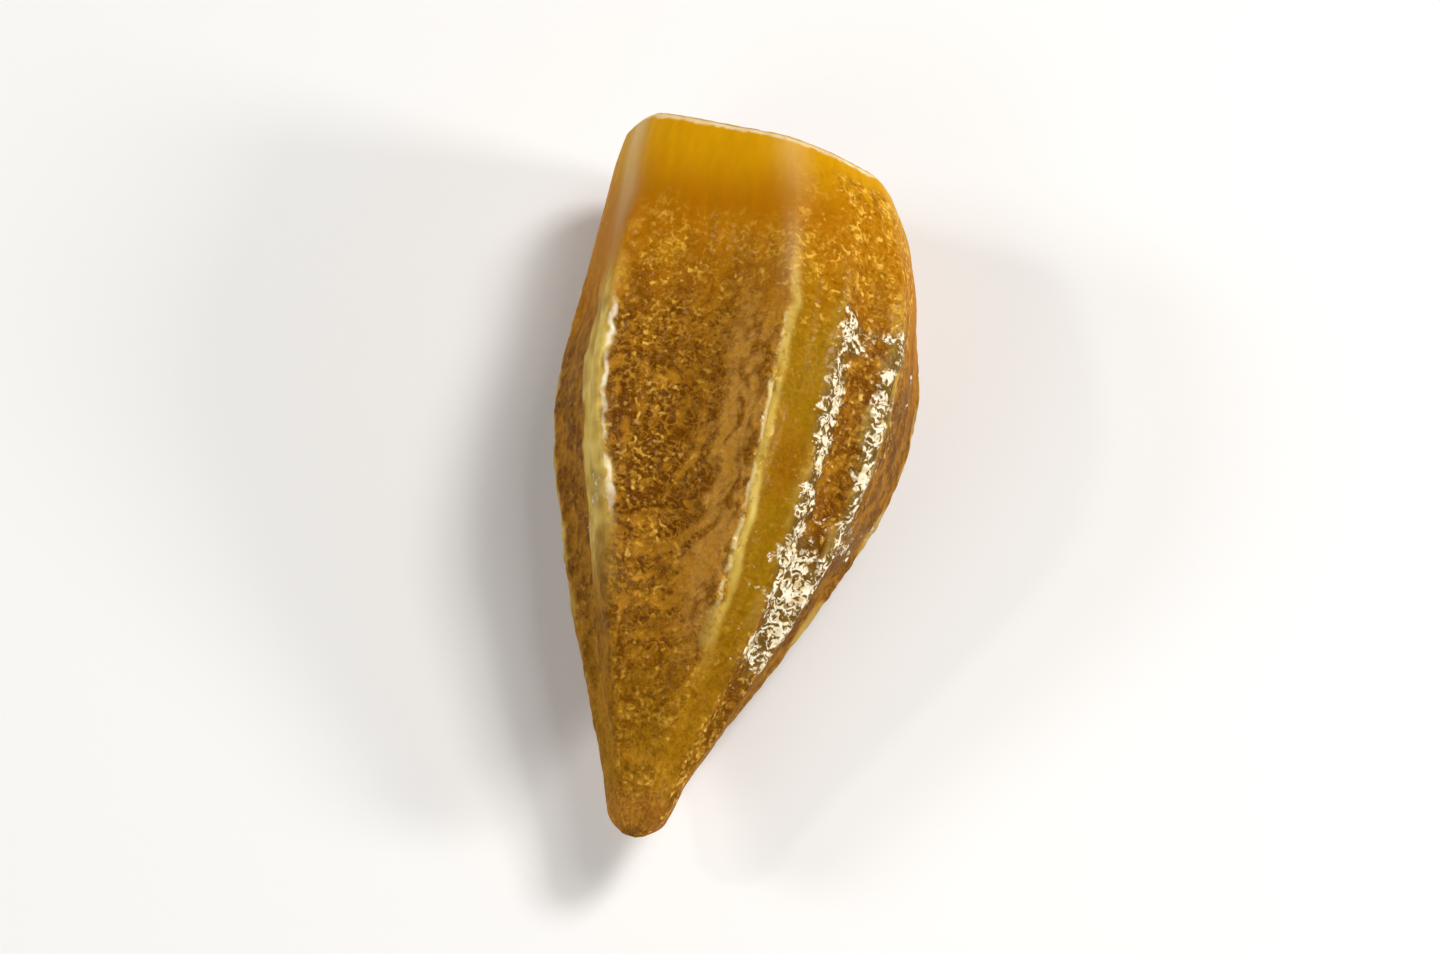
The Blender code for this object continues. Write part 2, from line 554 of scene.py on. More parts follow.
@dataclass(frozen=True)
class WetLine:
    """A thin bright line along a rib, in millimetres past the crest and along the pod: a painted
    highlight, over a pale seam on the right rib.
    """

    rib: int
    past_crest: float
    begins: Fade
    ends: Fade
    strength: float


@dataclass(frozen=True)
class RibBand:
    """The pale band on a rib: its reach in millimetres to each side of the crest."""

    clockwise: float
    anticlockwise: float
    paleness: float


@dataclass
class SkinPlaces:
    """Where the grid's points are, in the measures that marks are drawn with.

    Along is millimetres from the cut and share the same over the length. Degrees is the
    angle at the cap, and past_crest is millimetres past the nearest rib. Streaks and patchy
    are two noises that the marks stray with.
    """

    grid: SkinGrid
    points: np.ndarray
    streak_width: float = 0.8
    # How much shorter a streak is drawn along the pod before its noise is read
    streak_squeeze: float = 0.15
    patch_size: float = 3.2
    along: np.ndarray = field(init=False)
    share: np.ndarray = field(init=False)
    degrees: np.ndarray = field(init=False)
    past_crest: np.ndarray = field(init=False)
    streaks: np.ndarray = field(init=False)
    patchy: np.ndarray = field(init=False)

    def __post_init__(self) -> None:
        """Measures every point."""
        self.along = self.grid.spread(self.grid.along)
        self.share = self.along / self.grid.form.length
        self.degrees = self.grid.spread(np.degrees(self.grid.cap_angle))
        self.past_crest = self.grid.past_crest()
        squeezed = self.points * (1.0, self.streak_squeeze, 1.0)
        self.streaks = soft_noise(squeezed, self.streak_width, 11, 3)
        self.patchy = soft_noise(self.points, self.patch_size, 12, 4)

    def aside(self, angle: float) -> np.ndarray:
        """Says how many degrees past an angle each point is, the shorter way round."""
        return (self.degrees - angle + 180.0) % 360.0 - 180.0

    def between(self, angles: tuple[float, float], soft: float) -> np.ndarray:
        """Marks the places between two angles, with soft sides.

        Args:
            angles: Where the band begins and ends.
            soft: Half the width of each side's fade.

        Returns:
            1 inside the band and 0 outside it.
        """
        low, high = angles
        risen = smooth_step(self.degrees, low - soft, low + soft)
        return risen * (1 - smooth_step(self.degrees, high - soft, high + soft))

    def spots(self, *spots: Spot) -> np.ndarray:
        """Adds up soft spots.

        Args:
            *spots: The spots.

        Returns:
            Each spot's strength in its middle, falling to 0 round it.
        """
        total = np.zeros(self.along.shape)
        for spot in spots:
            down = np.abs((self.along - spot.place) / spot.place_spread)
            total += spot.strength * np.exp(-((self.aside(spot.angle) / spot.angle_spread) ** 2) - down**3)
        return total

    def reach(self, begins: Fade, ends: Fade, stray: float = 0.0) -> np.ndarray:
        """Marks a stretch along the pod.

        Args:
            begins: Between which places it fades in.
            ends: Between which places it fades out.
            stray: How many millimetres the streaks carry it along.

        Returns:
            1 inside the stretch and 0 outside it.
        """
        along = self.along + stray * self.streaks
        return smooth_step(along, *begins) * (1 - smooth_step(along, *ends))

    def strip(self, strip: Strip, stray: float = 0.0) -> np.ndarray:
        """Marks a soft strip beside a rib.

        Args:
            strip: The strip.
            stray: How many millimetres the streaks carry its ends along.

        Returns:
            The strip's strength in its middle, falling to 0 at its sides and ends.
        """
        across = hump(self.past_crest, strip.past_crest, strip.half_width)
        across = np.where(self.grid.rib_number == strip.rib, across, 0.0)
        return strip.strength * across * self.reach(strip.begins, strip.ends, stray)

    def past_line(self, line: WetLine) -> np.ndarray:
        """Measures how far past a bright line each point is, in millimetres from -1 to 1.

        Args:
            line: The line.

        Returns:
            The distance near the line's rib, and -1 or 1 beyond it.
        """
        side = np.sign(self.aside(self.grid.form.ribs[line.rib].angle))
        near = self.grid.rib_number == line.rib
        return np.clip(np.where(near, self.past_crest - line.past_crest, side), -1.0, 1.0)


@dataclass(frozen=True)
class Faces:
    """Which face of the pod each point is on, as shares from 0 to 1."""

    wide: np.ndarray
    olive: np.ndarray
    right: np.ndarray
    flank: np.ndarray
    far_right: np.ndarray


@dataclass(frozen=True)
class SkinSurvey:
    """Works out the marks of the skin. Places are in millimetres along and degrees round."""

    form: PodForm
    # Where the cap's colour and smoothness run out, and where its deep tone is full
    cap_fade: Fade = (5.5, 14.0)
    smooth_fade: Fade = (4.6, 10.8)
    deep_rise: Fade = (0.5, 6.0)
    # Shares of the length between which the tip's amber comes in
    tip_rise: Fade = (0.62, 0.90)
    # How far from the end the beak's pink begins, and from where it is full
    beak_reach: tuple[float, float] = (3.2, 0.8)
    bands: tuple[RibBand, ...] = (
        RibBand(0.5, 0.6, 0.6),
        RibBand(0.3, 0.3, 0.25),
        RibBand(0.6, 0.22, 1.0),
        RibBand(0.3, 3.4, 1.15),
        RibBand(0.4, 0.6, 0.7),
        RibBand(0.4, 0.5, 0.6),
        RibBand(0.4, 0.5, 0.6),
        RibBand(0.5, 0.5, 0.7),
    )
    band_blur: float = 0.22
    # How far the bands' sides stray on the clockwise side, how much further on the other,
    # and the sizes of the strays and of the bands' uneven tone
    band_wander: float = 0.35
    outer_wander: float = 2.5
    wander_size: float = 1.4
    uneven_size: float = 0.9
    bands_begin: Fade = (5.0, 9.5)
    # Shares of the length between which the bands run out, and how much sooner the left does
    bands_end: Fade = (0.60, 0.82)
    left_sooner: float = 0.06
    # The left line is a painted highlight, and the right one a pale seam painted bright as a highlight
    left_line: WetLine = WetLine(3, -0.32, (11.0, 12.5), (21.5, 23.5), 0.9)
    right_line: WetLine = WetLine(2, 0.15, (11.0, 12.5), (26.0, 28.0), 0.65)
    # The shade painted in the crease inside the left line, and the tan film beside the right one
    crease: Strip = Strip(3, -0.8, 0.28, (23.0, 28.0), (10.0, 15.0))
    film_strip: Strip = Strip(2, 1.3, 1.2, (23.0, 30.0), (8.0, 11.0), 1.2)
    # The pale strips that the knife left on two edges of the cap, and a pale nick below one
    cap_strips: tuple[Strip, ...] = (
        Strip(2, 0.0, 1.0, (0.5, 7.5), strength=0.35),
        Strip(3, 1.5, 1.1, (3.5, 9.0), strength=0.8),
    )
    pale_nick: Spot = Spot(76.0, 3.4, 8.4, 2.4, 0.45)
    wide_face: tuple[float, float] = (75.0, 142.0)
    olive_face: tuple[float, float] = (54.0, 75.0)
    right_side: tuple[float, float] = (12.0, 54.0)
    left_flank: tuple[float, float] = (166.0, 350.0)
    # Half the width of the fades between the faces, in degrees
    face_blur: float = 3.0
    side_blur: float = 5.0
    flank_blur: float = 12.0
    far_right_angle: float = 12.0
    far_right_fade: tuple[float, float] = (24.0, 8.0)
    # Where the brown is darker on the left, where shade is painted along the lower left and lower right
    # edges, and where the tan film lies thick
    dark_left: Spot = Spot(124.0, 17.0, 20.0, 11.0)
    dark_lower_left: Spot = Spot(134.0, 22.0, 27.5, 8.0)
    dark_lower_right: Spot = Spot(34.0, 20.0, 31.5, 6.0)
    thick_film: Spot = Spot(83.0, 12.0, 17.0, 10.0)
    # Orange stains: in the groove on the right, on the shoulder, on the olive face, and in
    # patches underneath
    groove_angle: float = 43.0
    groove_spread: float = 5.5
    groove_begins: Fade = (8.0, 13.0)
    groove_ends: Fade = (0.55, 0.75)
    stain_spot: Spot = Spot(33.0, 14.0, 8.5, 2.6, 0.9)
    dab: Spot = Spot(63.0, 7.0, 20.5, 2.6, 0.8)
    underside_angle: float = 265.0
    underside_fade: tuple[float, float] = (110.0, 60.0)
    # Where juice stands thick and has glints painted on it, where it begins, how thick at most,
    # how far apart its stray patches are, and the size of its own unevenness
    juice_spots: tuple[Spot, ...] = (
        Spot(51.0, 6.0, 17.0, 7.5),
        Spot(35.0, 19.0, 25.4, 4.2),
        Spot(31.0, 4.5, 15.5, 4.4),
        Spot(29.0, 2.6, 22.0, 3.0),
    )
    juice_begins: Fade = (6.0, 9.5)
    juice_most: float = 0.80
    stray_size: float = 3.0
    juice_grain: float = 1.5
    # Where the painted gold glints gather: on a rib, below the cap on the right, and beside the left line
    fleck_spots: tuple[Spot, ...] = (
        Spot(75.0, 3.5, 20.0, 9.0),
        Spot(64.0, 12.0, 9.5, 4.0, 0.5),
        Spot(128.0, 8.0, 18.0, 10.0, 0.8),
    )
    # The ring of painted gold glints where the cap's colour gives way: its place, half its
    # width, and half the width of its sides' fades in degrees
    change_place: float = 8.5
    change_half: float = 2.2
    change_blur: float = 8.0
    # The cut's ring of pale marks, as many as the ribs and evenly spread, and its pale middle,
    # as shares of the radius
    vein_ring: float = 0.64
    vein_half: float = 0.08
    core_fade: Fade = (0.16, 0.42)

    def _faces(self, at: SkinPlaces) -> Faces:
        """Tells the faces apart.

        Args:
            at: The skin's places.

        Returns:
            The faces.
        """
        far_right = smooth_step(np.abs(at.aside(self.far_right_angle)), *self.far_right_fade)
        wide, olive = (at.between(face, self.face_blur) for face in (self.wide_face, self.olive_face))
        right = at.between(self.right_side, self.side_blur)
        return Faces(wide, olive, right, at.between(self.left_flank, self.flank_blur), far_right)

    def _ribs(self, at: SkinPlaces) -> np.ndarray:
        """Marks the pale bands on the ribs.

        Args:
            at: The skin's places.

        Returns:
            How pale each point is.
        """
        bands = np.array([(b.clockwise, b.anticlockwise, b.paleness) for b in self.bands])
        low, high, pale = (bands[at.grid.rib_number, i] for i in range(3))
        wander = self.band_wander * soft_noise(at.points, self.wander_size, 13, 2)
        blur = self.band_blur
        inner = smooth_step(at.past_crest + wander, -low - blur, -low + blur)
        strayed = at.past_crest + self.outer_wander * wander
        outer = 1 - smooth_step(strayed, high - blur, high + blur)
        uneven = 0.75 + 0.5 * soft_noise(at.points, self.uneven_size, 16, 2)
        sooner = np.where(at.grid.rib_number == self.left_line.rib, self.left_sooner, 0.0)
        left_over = 1 - smooth_step(at.share + sooner + 0.06 * at.patchy, *self.bands_end)
        return pale * inner * outer * uneven * smooth_step(at.along, *self.bands_begin) * left_over

    def _edges(self, at: SkinPlaces, cut: np.ndarray) -> np.ndarray:
        """Marks the pale strips on the cap's edges, which run out a few millimetres down.

        Args:
            at: The skin's places.
            cut: The share of the cut.

        Returns:
            How pale each point is.
        """
        strips = sum(at.strip(strip, 1.5) for strip in self.cap_strips)
        strips = strips * (1 - cut) * (0.85 + 0.5 * at.streaks)
        return strips + at.spots(self.pale_nick) * (0.8 + 0.6 * at.streaks)

    def _line(self, at: SkinPlaces) -> np.ndarray:
        """Says how strong the bright lines are along their ribs.

        Args:
            at: The skin's places.

        Returns:
            The strength at each point.
        """
        total = np.zeros(at.along.shape)
        for line in (self.left_line, self.right_line):
            strong = line.strength * at.reach(line.begins, line.ends)
            total += np.where(at.grid.rib_number == line.rib, strong, 0.0)
        return total

    def _film(self, at: SkinPlaces, faces: Faces) -> np.ndarray:
        """Marks the tan film, thickest beside the pale seam.

        Args:
            at: The skin's places.
            faces: The faces.

        Returns:
            How thick it is, from 0 to 1.
        """
        film = 0.26 + 0.28 * at.patchy - 0.3 * at.spots(self.dark_left) + at.spots(self.thick_film)
        film = film + at.strip(self.film_strip) - 0.6 * faces.olive - 0.3 * faces.right
        return np.clip(film, 0.0, 1.0)

    def _stain(self, at: SkinPlaces) -> np.ndarray:
        """Marks the orange stains.

        Args:
            at: The skin's places.

        Returns:
            How strong they are, from 0 to 1.
        """
        groove = hump(at.degrees, self.groove_angle, self.groove_spread)
        groove = groove * smooth_step(at.along, *self.groove_begins)
        groove = groove * (1 - smooth_step(at.share, *self.groove_ends))
        under = smooth_step(np.abs(at.degrees - self.underside_angle), *self.underside_fade)
        under = under * smooth_step(at.patchy, 0.15, 0.55)
        dab = at.spots(self.dab) * smooth_step(at.patchy, -0.3, 0.3)
        return np.clip(0.8 * groove + at.spots(self.stain_spot) + 0.4 * under + dab, 0.0, 1.0)

    def _shade(self, at: SkinPlaces, faces: Faces) -> np.ndarray:
        """Marks where the brown of the faces is darker: shade painted on the left flank, the far right,
        the lower edges and the crease inside the left line, and darker tone on the left, on the right side
        and in patches.

        Args:
            at: The skin's places.
            faces: The faces.

        Returns:
            How dark it is, from 0 to 1.
        """
        shade = 0.9 * at.spots(self.dark_left) + at.spots(self.dark_lower_left, self.dark_lower_right)
        shade = shade + 0.95 * faces.flank + 0.5 * at.patchy * faces.wide
        shade = shade + 0.75 * faces.right + faces.far_right + at.strip(self.crease)
        return np.clip(shade, 0.0, 1.0)

    def _rough(self, at: SkinPlaces, faces: Faces, tip: np.ndarray, rib: np.ndarray) -> np.ndarray:
        """Says how rough the skin is: most on the wide face, least on the cap.

        Args:
            at: The skin's places.
            faces: The faces.
            tip: The share of the tip's amber.
            rib: How pale the ribs' bands are.

        Returns:
            The roughness, from 0 to 1.
        """
        rough = (0.75 + 0.25 * faces.wide) * (1 - 0.68 * faces.olive * (1 - tip)) * (1 - 0.4 * rib)
        sleek = 1 - smooth_step(at.along + 2.2 * at.streaks, *self.smooth_fade)
        # On the right the cap is rougher, but for its first millimetre
        rougher = 0.4 * faces.right * smooth_step(at.along, 1.0, 3.0)
        return rough * (1 - sleek * (0.9 - rougher)) * (1 - 0.4 * tip)

    def _glaze(self, at: SkinPlaces, faces: Faces, tip: np.ndarray) -> np.ndarray:
        """Says how thick the juice stands, and so where its glints and the shade between them are painted.

        Args:
            at: The skin's places.
            faces: The faces.
            tip: The share of the tip's amber.

        Returns:
            The thickness, from 0 to 1.
        """
        stray = smooth_step(soft_noise(at.points, self.stray_size, 14, 3), 0.22, 0.55)
        stray = stray * (1 - faces.wide) * (1 - faces.olive)
        uneven = 1.0 + 0.8 * soft_noise(at.points, self.juice_grain, 15, 2)
        glaze = np.clip(at.spots(*self.juice_spots) * uneven + 0.6 * stray * (1 - tip), 0.0, 1.0)
        return self.juice_most * glaze * smooth_step(at.along, *self.juice_begins)

    def _fleck(self, at: SkinPlaces, faces: Faces, tip: np.ndarray, cap: np.ndarray) -> np.ndarray:
        """Says how thickly gold glints of oil are painted, as flecks.

        Args:
            at: The skin's places.
            faces: The faces.
            tip: The share of the tip's amber.
            cap: The share of the cap.

        Returns:
            The thickness, from 0 to 1.
        """
        in_view = at.between((self.olive_face[0], self.wide_face[1]), self.change_blur)
        change = hump(at.along, self.change_place, self.change_half) * in_view
        fleck = 0.42 * faces.wide * (1 - cap) + 1.1 * faces.right + 0.5 * change + 0.15 * tip
        fleck = fleck + 0.25 * faces.flank + 0.2 * faces.olive - 0.2 * at.spots(self.thick_film)
        fleck = np.clip(fleck + at.spots(*self.fleck_spots), 0.0, 1.0)
        return fleck * smooth_step(at.along, 0.8, 2.0)

    def marks(self, grid: SkinGrid, points: np.ndarray, lift: np.ndarray) -> SkinMarks:
        """Finds every mark.

        Args:
            grid: The skin's grid.
            points: The grid's points in millimetres.
            lift: How high the skin's rough pattern stands, from 0 to 1.

        Returns:
            The marks over the grid.
        """
        at = SkinPlaces(grid, points)
        faces = self._faces(at)
        cut = grid.cut_share()
        out = grid.spread(grid.scale)
        beams = np.cos(len(self.form.ribs) * np.radians(at.degrees) + 3.5 * at.patchy)
        vein = hump(out + 0.06 * at.patchy, self.vein_ring, self.vein_half) * smooth_step(beams, -0.3, 0.8)
        cap = 1 - smooth_step(at.along + 3.2 * at.streaks, *self.cap_fade)
        body = (1 - cap) * (1 - cut)
        near_tip = smooth_step(at.share + 0.05 * at.patchy, *self.tip_rise)
        # The tip's amber gives way where shade is painted along the lower edges
        darker = 0.8 * at.spots(self.dark_lower_right) + 0.35 * at.spots(self.dark_lower_left)
        tip = near_tip * (1 - darker)
        beak_from, beak_full = (self.form.length - reach for reach in self.beak_reach)
        rib = self._ribs(at)
        edge = self._edges(at, cut)
        glaze = self._glaze(at, faces, tip) * (1 - cut)
        wet = 0.06 + 0.3 * glaze + 0.2 * cut - 0.06 * edge - 0.05 * tip + 0.02 * faces.wide
        wet = wet - 0.05 * (faces.flank + faces.right + faces.far_right) - 0.03 * faces.olive
        found = {
            "cap": cap,
            "deep": smooth_step(at.along + at.patchy, *self.deep_rise),
            "rib": rib,
            "edge": edge,
            "line": self._line(at),
            "left_line": at.past_line(self.left_line),
            "right_line": at.past_line(self.right_line),
            "brink": np.clip(at.along, 0.0, 2.0) + 2.0 * cut,
            "tip": tip,
            "beak": smooth_step(at.along + 0.8 * at.streaks, beak_from, beak_full),
            "film": self._film(at, faces) * (1 - 0.6 * near_tip) * (1 - 0.8 * rib) * body,
            "stain": self._stain(at),
            "shade": self._shade(at, faces) * body * (1 - 0.7 * rib),
            "cut": cut,
            "vein": vein * cut,
            "core": (1 - smooth_step(out + 0.06 * at.patchy, *self.core_fade)) * cut,
            "lift": lift,
            "rough": self._rough(at, faces, tip, rib) * (1 - cut),
            "glaze": glaze,
            "fleck": self._fleck(at, faces, tip, cap) * (1 - cut),
            "wet": np.clip(wet, 0.03, 1.0),
        }
        return SkinMarks(**{name: grid.spread(mark) for name, mark in found.items()})


@dataclass(frozen=True)
class SkinPattern:
    """The rough pattern of bumps, puckers and creases that relief and colour share.

    Sizes are in millimetres.
    """

    # Fine bumps stand about half a millimetre apart on a real pod of this size
    bump_spacing: float = 0.6
    # A bump's radius, as a share of that spacing
    bump_radius: float = 0.62
    pucker_size: float = 0.7
    crease_size: float = 1.6
    # How far the creases and arcs are bent, and over what distance
    bend: float = 0.8
    bend_size: float = 1.9
    # On the wide face the creases run in arcs round a place beside it
    arc_middle: tuple[float, float, float] = (-5.8, -17.0, 5.9)
    arc_spacing: float = 0.45
    arc_stretch: float = 1.9
    arc_reach: Fade = (11.0, 19.0)
    # Angles between which the wide face comes in and goes out
    wide_begins: Fade = (78.0, 86.0)
    wide_ends: Fade = (130.0, 138.0)

    def _arcs(self, bent: np.ndarray) -> np.ndarray:
        """Draws the arcs.

        Args:
            bent: The grid's points, moved about a little.

        Returns:
            The height at each point, from 0 to 1.
        """
        away = bent - np.array(self.arc_middle)
        reach = np.linalg.norm(away, axis=-1)
        heading = self.arc_stretch * away / np.maximum(reach, 1.0)[..., None]
        curved = np.stack([reach, heading[..., 1], heading[..., 0]], axis=-1)
        return np.clip(0.5 + 1.8 * soft_noise(curved, self.arc_spacing, 34, 2), 0.0, 1.0)

    def lift(self, grid: SkinGrid, points: np.ndarray) -> np.ndarray:
        """Works out how high the pattern stands.

        Args:
            grid: The skin's grid.
            points: The grid's points in millimetres.

        Returns:
            The height at each point, from 0 to 1.
        """
        degrees = grid.spread(np.degrees(grid.cap_angle))
        wide = smooth_step(degrees, *self.wide_begins) * (1 - smooth_step(degrees, *self.wide_ends))
        away = nearest_grain(points, self.bump_spacing, 23) / self.bump_radius
        bumps = np.clip(1.0 - away**2, 0.0, 1.0)
        puckers = soft_noise(points * (1.0, 0.6, 1.0), self.pucker_size, 29, 2)
        stray = [soft_noise(points, self.bend_size, 30 + axis, 2) for axis in range(3)]
        bent = points + self.bend * np.stack(stray, axis=-1)
        crease = 1.0 - np.abs(soft_noise(bent * (1.0, 0.55, 1.0), self.crease_size, 24, 2)) * 4.0
        plain = 0.18 + 0.42 * bumps + 0.5 * puckers + 0.5 * np.clip(crease, 0.0, 1.0) ** 2
        curving = smooth_step(grid.spread(grid.along), *self.arc_reach)
        arcs = 0.47 + (self._arcs(bent) - 0.47) * curving
        crinkled = 0.05 + 0.33 * bumps + 0.27 * puckers + 0.55 * arcs
        return np.clip(plain + (crinkled - plain) * wide, 0.0, 1.0)


@dataclass(frozen=True)
class SkinRelief:
    """The fine relief of the skin, in millimetres, that the solid leaves out."""

    dent_height: float = 0.14
    dent_size: float = 5.0
    fibre_height: float = 0.05
    fibre_width: float = 0.62
    fibre_length: float = 7.0
    rough_height: float = 0.17
    glaze_height: float = 0.10
    cord_height: float = 0.14
    cord_half_width: float = 0.26
    # How far the cords stray from the crests, where along the pod they begin, and the shares
    # of its length between which they run out
    cord_wander: float = 0.25
    cord_begins: Fade = (7.0, 11.0)
    cord_ends: Fade = (0.6, 0.8)
    cut_grain: float = 0.06
    cut_grain_size: float = 0.5

    def heights(self, form: PodForm, grid: SkinGrid, points: np.ndarray, marks: SkinMarks) -> np.ndarray:
        """Adds up the relief at every point.

        Args:
            form: The pod's form.
            grid: The skin's grid.
            points: The grid's points in millimetres.
            marks: Where each kind of skin lies.

        Returns:
            How far each point stands out along its normal, in millimetres.
        """
        along = grid.spread(grid.along)
        outside = 1 - marks.cut
        dents = self.dent_height * soft_noise(points, self.dent_size, 21, 2) * outside
        lengthwise = np.stack(
            [
                form.half_width * np.cos(grid.angle),
                form.half_width * np.sin(grid.angle),
                along * self.fibre_width / self.fibre_length,
            ],
            axis=-1,
        )
        fibres = self.fibre_height * soft_noise(lengthwise, self.fibre_width, 22, 2)
        fibres = fibres * outside * (1 - 0.6 * marks.film) * (1 - 0.45 * marks.cap)
        rough = (self.rough_height * marks.rough + self.glaze_height * marks.glaze) * marks.lift
        cords = self._cords(grid, along, points)
        grain = self.cut_grain * soft_noise(points, self.cut_grain_size, 26, 2) * marks.cut
        return dents + fibres + rough + cords + grain

    def _cords(self, grid: SkinGrid, along: np.ndarray, points: np.ndarray) -> np.ndarray:
        """Raises the thin cord that runs on every rib's crest.

        Args:
            grid: The skin's grid.
            along: How far along the pod each point is.
            points: The grid's points in millimetres.

        Returns:
            The cords' heights.
        """
        wander = self.cord_wander * soft_noise(points * (0.4, 1.0, 0.4), 2.6, 27)
        cord = hump(grid.past_crest() + wander, 0.0, self.cord_half_width)
        uneven = 0.55 + 0.8 * soft_noise(points, 1.2, 28, 2)
        left_over = 1 - smooth_step(along / grid.form.length, *self.cord_ends)
        reach = smooth_step(along, *self.cord_begins) * left_over
        return self.cord_height * cord * uneven * reach


@dataclass(frozen=True)
class Noise:
    """A noise in the skin: the size of its lumps in millimetres, and how much finer detail it has.

    A twist draws the lumps into curls, and a squeeze below 1 draws them out along the pod.
    """

    name: str
    size: float
    detail: float
    twist: float = 0.0
    squeeze: float = 1.0


@dataclass(frozen=True)
class Thread:
    """The distance from a thin line: where a noise crosses its middle, or bends a marked line."""

    name: str
    noise: str
    wobble: float = 1.0
    mark: str | None = None


@dataclass(frozen=True)
class Band:
    """A mask that reads a noise, a mark or a distance between the values for 0 and for 1."""

    name: str
    source: str
    zero: float
    one: float


@dataclass(frozen=True)
class Product:
    """A mask that lies where all of some others do."""

    name: str
    factors: tuple[str, ...]


@dataclass(frozen=True)
class Coat:
    """A tone, or a paint by its name, that lies over others where all its masks do."""

    colour: Tone | str
    reach: float
    masks: tuple[str, ...]


@dataclass(frozen=True)
class Paint:
    """A mixed colour: a tone, and the coats over it from the lowest up."""

    name: str
    base: Tone
    coats: tuple[Coat, ...]


@dataclass(frozen=True)
class CookedSkin:
    """Cooked okra skin and flesh: soft, part see-through, and wet with its own juice.

    Light goes a millimetre or two into the flesh and comes back amber, and the film of
    oily juice on it gives small sharp sparks on every bump. The brightest of these glints,
    and the shade between them, are painted into the colour as well.
    """

    name: str = "cooked_okra_skin"
    ior: float = 1.38
    roughness: float = 0.55
    # Under the juice the skin itself hardly shines, since the two bend light alike
    skin_shine: float = 0.03
    juice_ior: float = 1.46
    juice_roughness: float = 0.12
    flesh_depth: tuple[float, float, float] = (0.9, 0.4, 0.06)
    # How much light goes into the flesh of the body and of the cap
    flesh_share: tuple[float, float] = (0.10, 0.35)
    # How high, in millimetres, the grain of the skin and the drops on it stand
    grain_height: float = 0.06
    drop_height: float = 0.22
    noise_roughness: float = 0.6
    # How far the rim's lower edge wanders in millimetres, and how softly the juice's edge fades
    rim_wobble: float = 0.5
    bead_slope: float = 0.22
    noises: tuple[Noise, ...] = (
        # Blotches and grain of the skin, and the curled threads in its creases
        Noise("mottle", 1.3, 5.0),
        Noise("grain", 0.34, 3.0, 0.8),
        Noise("fine", 0.34, 2.0),
        Noise("dark_thread", 0.5, 1.0, 2.0),
        Noise("gold_hair", 0.85, 1.0, 1.4),
        # Patches of tone, and fibres along the cap
        Noise("broad", 2.2, 3.0),
        Noise("streak", 0.5, 4.0, 0.5, 0.3),
        # Glints of oil, painted in gold as small flecks. Real droplets are finer, and would be lost in the
        # render
        Noise("speck", 0.27, 1.0),
        Noise("dot", 0.297, 1.0),
        Noise("scatter", 1.1, 3.0),
        Noise("scrap", 0.42, 1.5, 0.6),
        Noise("spark", 0.28, 0.0),
        Noise("group", 0.9, 4.0),
        # The thick juice and the glints painted on it: its edge, the dark curls of painted shade
        # between the glints, the glints' clouds, and its drops
        Noise("ragged", 0.8, 3.0),
        Noise("curl", 0.46, 1.0, 1.6),
        Noise("cloud", 0.42, 1.0),
        Noise("drops", 0.42, 1.5),
        # The bright lines on the ribs, the rim of the cut, and the flesh of the cut
        Noise("wander", 1.1, 1.0),
        Noise("left_break", 2.2, 3.0),
        Noise("right_break", 0.8, 3.0),
        Noise("rim_wave", 0.6, 2.0),
        Noise("pulp", 0.7, 4.0, 0.6),
    )
    threads: tuple[Thread, ...] = (
        Thread("from_thread", "dark_thread"),
        Thread("from_hair", "gold_hair"),
        Thread("from_left", "wander", 0.6, "left_line"),
        Thread("from_right", "wander", 0.6, "right_line"),
    )
    bands: tuple[Band, ...] = (
        # From the marks
        Band("brown", "rough", 0.15, 0.6),
        Band("drop_strength", "rough", -0.03, 0.97),
        Band("raised", "lift", 0.12, 0.55),
        # Shade painted in the hollows of the relief
        Band("shaded_hollows", "lift", 0.42, 0.08),
        Band("ridges", "lift", 0.45, 0.85),
        Band("uncovered", "film", 5 / 3, 0.0),
        Band("streaked", "fleck", -0.2, 0.8),
        # Painted shade under the thick juice, between its painted glints
        Band("shade_under_glints", "glaze", 0.30, 0.70),
        # From the noises
        Band("mottled", "mottle", 0.36, 0.62),
        Band("dark", "grain", 0.50, 0.402),
        Band("patches", "broad", 0.38, 0.62),
        Band("clusters", "broad", 0.404, 0.596),
        Band("streaks", "streak", 0.42, 0.60),
        Band("specks", "speck", 0.50, 0.66),
        Band("dots", "dot", 0.45, 0.30),
        Band("scattered", "scatter", 0.46, 0.60),
        Band("scraps", "scrap", 0.53, 0.60),
        Band("nicks", "scrap", 0.45, 0.34),
        Band("sparks", "spark", 0.59, 0.72),
        Band("groups", "group", 0.44, 0.62),
        Band("juice_edge", "ragged", 0.30, 0.70),
        Band("between_curls", "curl", 0.44, 0.53),
        Band("clouded", "cloud", 0.32, 0.52),
        Band("left_unbroken", "left_break", 0.40, 0.52),
        Band("right_unbroken", "right_break", 0.40, 0.52),
        Band("fibrous", "pulp", 0.35, 0.65),
        # From the distances: noise for the first two, and millimetres for the others
        Band("dark_threads", "from_thread", 0.06, 0.0),
        Band("gold_hairs", "from_hair", 0.07, 0.0),
        Band("near_left", "from_left", 0.136, 0.0425),
        Band("near_right", "from_right", 0.192, 0.06),
        Band("rim", "below_rim", 0.78, 0.62),
    )
    products: tuple[Product, ...] = (
        # Glints painted on the thick juice
        Product("beads", ("juice", "between_curls")),
        # Glints of oil, painted in gold
        Product("flecks", ("sparks", "groups", "fleck")),
        # The left line's painted highlight, and the right line's pale seam painted bright as a highlight
        Product("glint_line_left", ("near_left", "left_unbroken", "line")),
        Product("seam_and_glint_right", ("near_right", "right_unbroken", "line")),
    )
